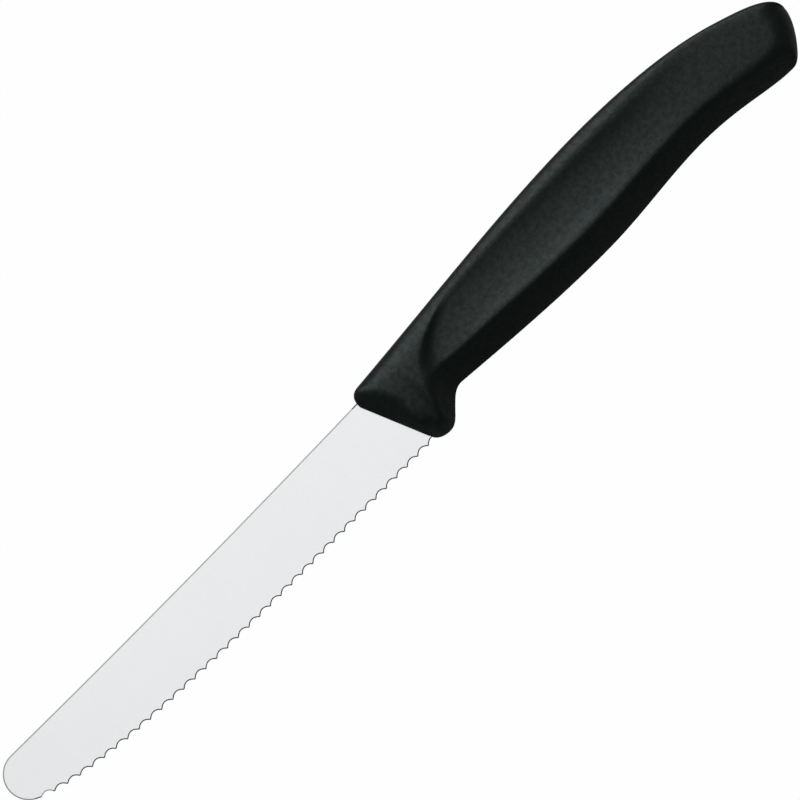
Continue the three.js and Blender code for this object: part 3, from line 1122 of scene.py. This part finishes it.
    def side_scoop(self, points: Array) -> Array:
        """The long hollow in the handle's side, with a sloping wall at its front.

        Args:
            points: Points of the plan, one a row.

        Returns:
            One height for each point.
        """
        x, y = points.T
        across = y + self.scoop_axis + (x - self.scoop_axis_start) ** 2 / (2 * self.scoop_axis_radius)
        along = x - self.scoop_centre
        front = lerp(self.scoop_front_share, 1, smoothstep(x, *self.scoop_front))
        rear = 1 - smoothstep(x, *self.scoop_rear)
        ahead = self.scoop_end + self.scoop_end_lean * y + self.scoop_end_bow * y**2 - x
        wall = self.scoop_end_slope * ramp(ahead, self.scoop_end_round)
        hollow = front * rear * across**2 / (2 * self.scoop_radius)
        hollow += along**2 / (2 * self.scoop_length_radius)
        return self.scoop_floor + hollow + wall

    def bevel(self, points: Array) -> Array:
        """The slope from the rim round the blade up to the guard's crown.

        Args:
            points: Points of the plan, one a row.

        Returns:
            One height for each point.
        """
        x, y = points.T
        inset = np.maximum(0, (x + self.rake * y) * math.cos(math.radians(self.front_rake)))
        turn = smoothstep(-y, self.front_bevel_turn, self.front_bevel_end)
        slope = np.tan(np.radians(lerp(self.front_bevel, self.front_bevel_low, turn)))
        return self.strip_thickness / 2 + self.mouth_gap + self.mouth_land + inset * slope

    def height(self, points: Array) -> Array:
        """Half the handle's thickness over points of its plan.

        Args:
            points: Points of the plan, one a row.

        Returns:
            One height for each point.
        """
        x, y = points.T
        rear = smoothstep(x, *self.back_rear)
        wall = lerp(self.back_wall, self.back_wall_end, rear)
        width = lerp(self.front_round, self.back_round, smoothstep(x, *self.back_front))
        inset = distance_to(self.back[::self.back_stride], points)
        crown = rounding(inset, lerp(width, self.back_round_end, rear), self.half_thickness - wall, 2)
        back_round = rounding(inset, self.back_edge, wall, 2) + crown
        neck = smoothstep(x, self.guard_reach, self.choil_reach)
        guard_rise = np.maximum(0, y + self.guard_depth)
        below = -self.guard_crown - y
        fall = self.guard_crown_slope * ramp(below, self.guard_crown_round)
        fall += np.maximum(0, below) ** 2 / (2 * self.guard_crown_radius)
        guard_round = rounding(guard_rise, self.guard_round, self.half_thickness - fall, 2)
        butt_inset = distance_to(self.butt[::self.low_stride], points)
        butt_round = rounding(butt_inset, self.butt_round, self.butt_round_height, 2)
        surfaces = (
            (self.belly_facet(points), lerp(self.flank_softness, self.belly_softness, neck)),
            (butt_round, self.butt_softness),
            (guard_round + self.half_thickness * neck, self.guard_softness),
            (self.side_scoop(points), self.ridge_softness),
            (self.bevel(points), self.bevel_softness),
        )
        lowest = back_round
        for surface, softness in surfaces:
            lowest = self.soft_min(lowest, surface, softness)
        return lowest

    def ring_places(self) -> Array:
        """Places of the rings along the handle, closer together at the front and round the butt.

        Returns:
            Shares of the outline's length.
        """
        part = np.linspace(0, 1, self.rings + 1)
        front, butt = self.ring_powers
        return lerp(part**front, 1 - (1 - part) ** butt, smoothstep(part, *self.ring_turn))

    def skin(self) -> Thing:
        """Makes the handle's closed surface, before the room for the steel is cut.

        Returns:
            The piece.
        """
        places = self.ring_places()[:-1]
        upper_side = at_shares(self.back, places)
        lower_side = at_shares(np.vstack([self.belly, self.butt[1:]]), places)
        shares = (1 - np.cos(np.linspace(0, math.pi, self.across + 1))) / 2
        plan = lerp(upper_side[:, None], lower_side[:, None], shares[None, :, None])
        flat = plan.reshape(-1, 2)
        height = self.height(flat).reshape(plan.shape[:2])
        height[:, 0] = height[:, -1] = 0.0

        round_count = 2 * self.across
        columns = [*range(self.across + 1), *range(self.across - 1, 0, -1)]
        signs = np.array([1.0] * (self.across + 1) + [-1.0] * (self.across - 1))
        ring_points = np.dstack([plan[:, columns], (height[:, columns] * signs)[:, :, None]])
        points = np.vstack([ring_points.reshape(-1, 3), [[self.length, -self.butt_depth, 0.0]]])
        faces: list[Sequence[int]] = [range(round_count)]
        for ring in range(len(places) - 1):
            start = ring * round_count
            for i in range(round_count):
                j = (i + 1) % round_count
                faces.append((start + j, start + i, start + round_count + i, start + round_count + j))
        last = (len(places) - 1) * round_count
        pole = len(points) - 1
        faces += [(last + (i + 1) % round_count, last + i, pole) for i in range(round_count)]
        return self.datum.piece("moulded_handle", points, faces)

    def build(self, steel: Thing, finish: Finish) -> Thing:
        """Moulds the handle round the steel and dresses it.

        Args:
            steel: The blade with its tang.
            finish: The handle's material.

        Returns:
            The piece.
        """
        piece = self.skin()
        room = link(bpy.data.objects.new("room", steel.data.copy()))
        swell = room.modifiers.new("fit", "DISPLACE")
        swell.strength = self.fit * MM
        swell.mid_level = 0.0
        settle(room)
        combine(piece, room, Cut.REMOVE)
        piece.data.materials.clear()
        piece.data.materials.append(finish)
        smooth_by_angle(piece, self.crease)
        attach(piece, BODY)
        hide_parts("handle")
        return piece


@dataclass(frozen=True)
class Lamp:
    """A soft box that points at a spot on the knife."""

    name: str
    direction: tuple  # from the knife
    size: tuple
    brightness: float  # seen from the knife, where 1 is white
    lit: Slot | None = None  # the only piece that it lights, where it is screened off the other


@dataclass
class Studio:
    """Camera, floor and light."""

    datum: Datum
    aim: tuple = (7.05, -5.74)  # point of the plan in the middle of the picture
    frame_width: float = 160.0  # of the picture, on the knife's middle plane
    lens: float = 300.0
    sensor: float = 36.0
    turn: float = 45.75  # degrees that the spine rises to the right in the picture
    clip: tuple = (0.01, 100.0)  # metres between which the camera sees
    fill: float = 0.015
    backdrop_gloss: float = 0.1  # brightness of the room in what mirrors it
    floor_half: float = 20.0  # metres
    floor_tone: float = 0.2
    floor_glow: float = 0.99  # share of white that it shows to the camera
    floor_gloss: float = 0.09  # how much of that white shows in what mirrors the floor
    lamp_distance: float = 1.0  # metres
    lamps: tuple = (
        Lamp("overhead", (0.0, 0.07, 1.0), (0.62, 0.56), 1.25),
        Lamp("key", (0.0, 0.743, 0.669), (1.5, 0.89), 2.6, Slot.PLASTIC),
        Lamp("near_card", (0.0, -0.85, 0.53), (2.4, 1.3), 0.35, Slot.STEEL),
        Lamp("far_card", (0.0, 0.85, 0.53), (2.4, 1.3), 0.35, Slot.STEEL),
    )

    def camera(self) -> None:
        """Looks straight down with a long lens, with the knife from lower left to upper right."""
        data = bpy.data.cameras.new("camera")
        data.lens = self.lens
        data.sensor_width = self.sensor
        camera = link(bpy.data.objects.new("camera", data))
        distance = self.frame_width * self.lens / self.sensor
        camera.location = self.datum.row(np.array([*self.aim, distance]))
        camera.rotation_euler = (0, 0, -math.radians(self.turn))
        data.clip_start, data.clip_end = self.clip
        bpy.context.scene.camera = camera

    def floor(self) -> None:
        """Pale floor that shows white and keeps the knife's shadow."""
        material, nodes = new_material("pale_floor")
        path = nodes.node("ShaderNodeLightPath")
        names = ("Is Camera Ray", "Is Glossy Ray", "Is Transmission Ray")
        direct, mirrored, through = (Socket(nodes, path.outputs[name]) for name in names)
        seen = nodes.maths("MAXIMUM", direct, mirrored * self.floor_gloss)
        share = nodes.maths("MAXIMUM", seen, through) * self.floor_glow
        matt = nodes.value("ShaderNodeBsdfDiffuse", 0, {"Color": (*(self.floor_tone,) * 3, 1.0)})
        glow = nodes.value("ShaderNodeEmission", 0, {"Color": WHITE, "Strength": 1.0})
        nodes.surface(nodes.value("ShaderNodeMixShader", 0, {0: share, 1: matt, 2: glow}))
        half = self.floor_half
        mesh = bpy.data.meshes.new("floor")
        corners = [(-half, -half, 0), (half, -half, 0), (half, half, 0), (-half, half, 0)]
        mesh.from_pydata(corners, [], [(0, 1, 2, 3)])
        mesh.materials.append(material)
        link(bpy.data.objects.new("floor", mesh))

    def light(self) -> None:
        """Soft boxes and an even fill."""
        aim = Vector(self.datum.row(np.array([*self.aim, 0.0])))
        for lamp in self.lamps:
            data = bpy.data.lights.new(lamp.name, "AREA")
            data.shape = "RECTANGLE"
            data.size, data.size_y = lamp.size
            data.energy = lamp.brightness * math.pi * lamp.size[0] * lamp.size[1]
            box = link(bpy.data.objects.new(lamp.name, data))
            away = Vector(lamp.direction).normalized()
            box.location = aim + away * self.lamp_distance
            box.rotation_euler = away.to_track_quat("Z", "Y").to_euler()
            box.visible_camera = False
        world = bpy.data.worlds.new("studio")
        bpy.context.scene.world = world
        world.use_nodes = True
        nodes = Nodes(world.node_tree)
        path = nodes.node("ShaderNodeLightPath")
        mirrored = Socket(nodes, path.outputs["Is Glossy Ray"]) * (self.backdrop_gloss - self.fill)
        backdrop = world.node_tree.nodes["Background"]
        backdrop.inputs["Color"].default_value = WHITE
        world.node_tree.links.new((mirrored + self.fill).link, backdrop.inputs["Strength"])

    def screen(self, pieces: dict[Slot, Thing]) -> None:
        """Screens each lamp off the piece that it isn't for.

        Args:
            pieces: The knife's pieces, by material.
        """
        for lamp in self.lamps:
            if lamp.lit:
                receivers = bpy.data.collections.new(f"lit_by_{lamp.name}")
                receivers.objects.link(pieces[lamp.lit])
                receivers.objects.link(bpy.data.objects["floor"])
                bpy.data.objects[lamp.name].light_linking.receiver_collection = receivers

    def build(self) -> None:
        """Sets up the picture."""
        self.camera()
        self.floor()
        self.light()
        bpy.context.scene.view_settings.view_transform = "Standard"


def main() -> None:
    """Builds the studio, then the knife's pieces in order."""
    logging.basicConfig(level=logging.INFO, format="%(name)s: %(message)s")
    handle_low, handle_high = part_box("handle")
    spine = handle_high.y - Handle.back_rise * MM
    middle = (handle_low.z + handle_high.z) / 2
    datum = Datum(Vector((handle_high.x - Handle.length * MM, spine, middle)))
    studio = Studio(datum)
    studio.build()
    steel = SatinSteel().material()
    plastic = GrainedPlastic(middle).material()
    blade_piece = Blade(datum).build(steel)
    handle_piece = Handle(datum).build(blade_piece, plastic)
    studio.screen({Slot.PLASTIC: handle_piece, Slot.STEEL: blade_piece})
    for piece in (handle_piece, blade_piece):
        log.info("%s: %d faces", piece.name, len(piece.data.polygons))


if __name__ == "__main__":
    main()
